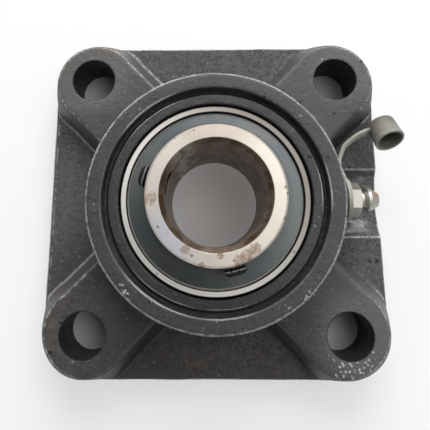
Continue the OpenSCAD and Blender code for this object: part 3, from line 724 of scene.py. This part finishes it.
class BEARING_OT_seals(Operator):
    """Finishes the slingers, the seal plates and the rubber lips"""

    bl_idname = "bearing.seals"
    bl_label = "Seals and slingers"

    def execute(self, context):
        colours = context.scene.bearing.steel
        finish_nodes(self.coated(colours), "front_slinger", "back_slinger")
        finish_nodes(pressed("seal_plate_steel", colours), "front_seal_plate", "back_seal_plate")
        finish_nodes(self.rubber(colours), "front_seal_lip", "back_seal_lip")
        return {"FINISHED"}

    def coated(self, colours):
        finish = Finish("slinger_coat", Metallic=0.35)
        cloud = finish.noise(7 * MM, detail=5, roughness=0.6)
        grain = finish.noise(0.5 * MM, detail=3)
        nicks = finish.specks(1.4 * MM, 0.20, 0.20, 3 * MM) * finish.patches(SLINGER_NICKS)
        base = finish.mix(finish.ramp(cloud, 0.35, 0.75) * 0.15, opaque(colours.slate), opaque(colours.stain))
        base = finish.mix(nicks * 0.8, base, opaque(colours.black))
        finish.surface(Base_Color=base, Roughness=0.25 + 0.10 * cloud + 0.06 * grain)
        finish.bump(grain + cloud - nicks, 0.012 * MM)
        return finish

    def rubber(self, colours):
        finish = Finish("seal_rubber")
        grain = finish.noise(0.3 * MM, detail=2)
        finish.surface(
            Base_Color=finish.mix(grain * 0.3, opaque(colours.rubber), opaque(colours.strip)),
            Roughness=0.65 + 0.2 * grain)
        finish.bump(grain, 0.01 * MM)
        return finish


class BEARING_OT_set_screws(Operator):
    """Finishes the set screws as black oxide, with painted glints on the crests of the thread"""

    bl_idname = "bearing.set_screws"
    bl_label = "Set screws"

    def execute(self, context):
        colours = context.scene.bearing.steel
        for screw in ("set_screw_1", "set_screw_2"):
            finish_nodes(self.oxide(screw, colours), screw)
        return {"FINISHED"}

    def oxide(self, screw, colours):
        finish = Finish(screw + "_oxide", Metallic=0.7)
        grain = finish.noise(0.4 * MM, detail=3)
        middle = (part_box(screw)[0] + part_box(screw)[1]) / 2
        away = finish.line_radius(middle, JOINTS[screw + "_drive"]["axis"])
        # Painted glints on the thread's crests
        crest_glint = finish.ramp(away, 2.70 * MM, 2.95 * MM) * finish.ramp(grain, 0.35, 0.60)
        finish.surface(
            Base_Color=finish.mix(crest_glint * 0.75, opaque(colours.black), opaque(colours.strip)),
            Roughness=0.34 + 0.2 * grain)
        finish.bump(grain, 0.008 * MM)
        return finish


class BEARING_OT_grease_nipple(Operator):
    """Finishes the grease nipple as zinc plate with a rusty tip, and its check ball and spring"""

    bl_idname = "bearing.grease_nipple"
    bl_label = "Grease nipple"

    def execute(self, context):
        colours = context.scene.bearing.steel
        finish_nodes(self.plated(colours), "grease_nipple")
        finish_nodes(self.rusted(colours), "nipple_check_ball")
        self.add_spring(colours)
        return {"FINISHED"}

    def add_spring(self, colours):
        """Adds the spring as a copy with its own mesh, riding on the housing in place of its CAD node."""
        coil = merged_copy("nipple_spring", "nipple_spring_coil")
        finish_mesh(coil, pressed("spring_wire", colours), "housing", "spring_steel", "nipple_spring")
        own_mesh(coil)

    def plated(self, colours):
        finish = Finish("zinc_plate", Metallic=1.0)
        cloud = finish.noise(1.5 * MM, detail=4, roughness=0.6)
        patch = finish.ramp(finish.patches(NIPPLE_RUST) + (cloud - 0.5) * 1.4, 0.30, 0.90)
        base = finish.mix(finish.ramp(cloud, 0.45, 0.8) * 0.35, opaque(colours.zinc), opaque(colours.stain))
        base = finish.mix(patch * 0.8, base, opaque(colours.film))
        finish.surface(Base_Color=base, Roughness=0.34 + 0.14 * cloud + 0.25 * patch)
        finish.bump(cloud + patch, 0.012 * MM)
        return finish

    def rusted(self, colours):
        finish = Finish("check_ball_rust", Metallic=0.4)
        cloud = finish.noise(0.6 * MM, detail=4)
        finish.surface(
            Base_Color=finish.mix(finish.ramp(cloud, 0.4, 0.7), opaque(colours.rust), opaque(colours.stain)),
            Roughness=0.45 + 0.2 * cloud)
        return finish


class BEARING_OT_dust_cap(Operator):
    """Makes the moulded dust cap with its strap and ring"""

    bl_idname = "bearing.dust_cap"
    bl_label = "Dust cap"

    def execute(self, context):
        sizes = context.scene.bearing.cap
        piece, surface = remeshed_copy("dust_cap", "dust_cap_moulding", sizes.voxel)
        smooth(surface, surface.verts, sizes.smoothing)
        sharpness = edge_sharpness(surface)
        surface.to_mesh(piece.data)
        surface.free()
        store(piece.data, "edge", sharpness)
        finish_mesh(piece, self.moulded(sizes), "dust_cap", "cap_plastic", "dust_cap")
        return {"FINISHED"}

    def moulded(self, sizes):
        finish = Finish("cap_plastic", Specular_IOR_Level=0.4)
        cloud = finish.noise(2.5 * MM, detail=4)
        grain = finish.noise(0.25 * MM, detail=2)
        raised = finish.ramp(finish.attribute("edge"), 0.02, 0.16)
        on_strap = finish.ramp(finish.line_radius(CAP_END, CAP_WAY), BESIDE_CAP_R, BESIDE_CAP_R + 0.6 * MM)
        # Painted shade towards the cap's closed end
        end_shade = (1 - finish.ramp(finish.along(CAP_END, CAP_WAY), 0, 6 * MM)) * (1 - on_strap)
        pale = finish.ramp(cloud, 0.4, 0.75) * 0.4 + on_strap * 0.6
        base = finish.mix(pale, opaque(sizes.plastic), opaque(sizes.bleached))
        base = finish.mix(end_shade * (0.7 + 0.3 * cloud), base, opaque(sizes.shaded_end_plastic))
        base = finish.mix(raised * 0.6, base, opaque(sizes.bleached))
        finish.surface(Base_Color=base, Roughness=0.48 + 0.16 * grain)
        finish.bump(grain, 0.01 * MM)
        return finish


class BEARING_OT_stage(Operator):
    """Sets up the floor, the soft boxes, a dark card and the camera"""

    bl_idname = "bearing.stage"
    bl_label = "Stage"

    def execute(self, context):
        stage = context.scene.bearing.stage
        floor = self.add_sheet(context, "floor", stage.floor_size, (0, 0, 0))
        floor.data.materials.append(self.paper(stage).material)
        card = self.add_sheet(context, "dark_card", CARD_WIDTH, CARD_AT)
        card.data.materials.append(Finish("card_felt", Base_Color=opaque((0, 0, 0)), Roughness=0.9).material)
        card.visible_camera = False
        self.add_world(context, stage)
        self.add_soft_box(context, "key_light", stage.key, KEY_WIDTH, KEY_AT)
        self.add_soft_box(context, "side_light", stage.side, SIDE_WIDTH, SIDE_AT)
        self.add_camera(context, stage)
        context.scene.view_settings.view_transform = "Standard"
        return {"FINISHED"}

    def add_sheet(self, context, name, size, at):
        sheet = bmesh.new()
        bmesh.ops.create_grid(sheet, x_segments=1, y_segments=1, size=size / 2)
        bmesh.ops.translate(sheet, verts=sheet.verts, vec=at)
        mesh = bpy.data.meshes.new(name)
        sheet.to_mesh(mesh)
        sheet.free()
        made = bpy.data.objects.new(name, mesh)
        context.scene.collection.objects.link(made)
        return made

    def paper(self, stage):
        finish = Finish("floor_paper", Roughness=0.9, Specular_IOR_Level=0.1)
        white = opaque((1, 1, 1))
        fibre = finish.noise(30 * MM, detail=3)
        finish.surface(Base_Color=finish.mix(fibre * 0.1, opaque(stage.floor), white))
        # Painted shade: the floor's plain white share is taken away under the bolt holes and the bore
        off_bolts = finish.ramp(finish.bolt_radius(), BOLT_HOLE_R, 1.5 * BOLT_HOLE_R)
        off_shaft = 0.2 + 0.8 * finish.ramp(finish.shaft_radius(), SHAFT_R, 1.5 * SHAFT_R)
        glow = finish.node("ShaderNodeEmission", None, {"Color": white, "Strength": 1.0})
        plain = Value(finish, finish.shader.outputs[0])
        share = finish.seen_rays() * off_bolts * off_shaft * stage.floor_glow
        both = finish.node("ShaderNodeMixShader", None, {0: share, 1: plain, 2: glow})
        finish.feed(finish.tree.nodes["Material Output"].inputs["Surface"], both)
        return finish

    def add_world(self, context, stage):
        """A pale room, softer as a light than where it is seen."""
        world = bpy.data.worlds.new("studio")
        context.scene.world = world
        world.use_nodes = True
        nodes = Nodes(world.node_tree)
        white = opaque((1, 1, 1))
        light = nodes.node("ShaderNodeBackground", None, {"Color": white, "Strength": stage.world})
        shown = nodes.node("ShaderNodeBackground", None, {"Color": white, "Strength": stage.backdrop})
        both = nodes.node("ShaderNodeMixShader", None, {0: nodes.seen_rays(), 1: light, 2: shown})
        nodes.feed(world.node_tree.nodes["World Output"].inputs["Surface"], both)

    def add_soft_box(self, context, name, power, size, at):
        lamp = bpy.data.lights.new(name, "AREA")
        lamp.energy = power
        lamp.size = size
        box = bpy.data.objects.new(name, lamp)
        box.location = at
        box.rotation_euler = (BALL_CENTRE - box.location).to_track_quat("-Z", "Y").to_euler()
        context.scene.collection.objects.link(box)

    def add_camera(self, context, stage):
        lens = bpy.data.cameras.new("camera")
        lens.lens = stage.lens
        lens.shift_x, lens.shift_y = stage.shift
        lens.clip_start = 1 * MM
        camera = bpy.data.objects.new("camera", lens)
        camera.location = stage.camera_at
        camera.rotation_euler = stage.camera_turn
        context.scene.collection.objects.link(camera)
        context.scene.camera = camera


class BEARING_PT_panel(Panel):
    """Lists the steps that dress the bearing unit"""

    bl_idname = "BEARING_PT_panel"
    bl_label = "Flange Bearing Unit"
    bl_space_type = "VIEW_3D"
    bl_region_type = "UI"
    bl_category = "Bearing"

    def draw(self, context):
        for step in STEPS:
            self.layout.operator(step.bl_idname)
        settings = context.scene.bearing
        for group in (settings.casting, settings.steel, settings.cap, settings.stage):
            box = self.layout.box()
            for key in group.__annotations__:
                box.prop(group, key)


SETTINGS = (CastingSettings, SteelSettings, CapSettings, StageSettings, BearingSettings)
STEPS = (
    BEARING_OT_stage, BEARING_OT_casting, BEARING_OT_rings, BEARING_OT_rolling_set, BEARING_OT_seals,
    BEARING_OT_set_screws, BEARING_OT_grease_nipple, BEARING_OT_dust_cap)


def register():
    for item in (*SETTINGS, *STEPS, BEARING_PT_panel):
        bpy.utils.register_class(item)
    bpy.types.Scene.bearing = PointerProperty(type=BearingSettings)


def unregister():
    del bpy.types.Scene.bearing
    for item in reversed((*SETTINGS, *STEPS, BEARING_PT_panel)):
        bpy.utils.unregister_class(item)


def main():
    register()
    for step in STEPS:
        group, name = step.bl_idname.split(".")
        getattr(getattr(bpy.ops, group), name)()


if __name__ == "__main__":
    main()
